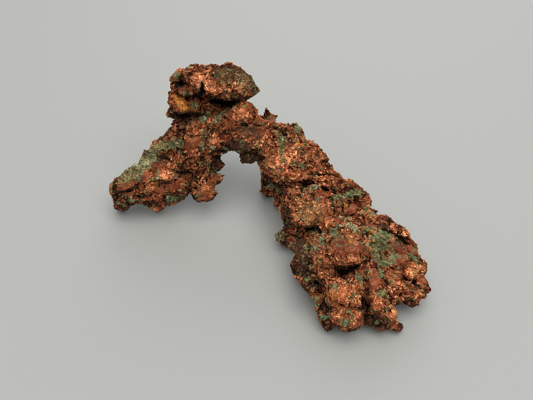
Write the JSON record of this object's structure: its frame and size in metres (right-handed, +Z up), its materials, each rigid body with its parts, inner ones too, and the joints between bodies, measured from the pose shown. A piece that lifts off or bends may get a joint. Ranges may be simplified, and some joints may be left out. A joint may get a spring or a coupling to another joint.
{
  "type": "native copper nugget",
  "caption": "Bent, hackly mass of native copper with a raised arch, a capped knob and a broad fingered arm, patched with green copper carbonate.",
  "frame": {"origin": "middle of the bounding box's underside, on the table that the nugget stands on", "axes": "+X from the leg to the arm's right edge, the nugget's longest extent; +Y away from the viewer, from the fingers to the bridge; +Z up"},
  "size_m": [0.0966, 0.076, 0.0478],
  "materials": {
    "native_copper": "hackly bare copper, bright on the ridges, dark brown in the pits, with dull green carbonate patches"
  },
  "bodies": {
    "root": {"copper_nugget": "native_copper"}
  },
  "joints": []
}
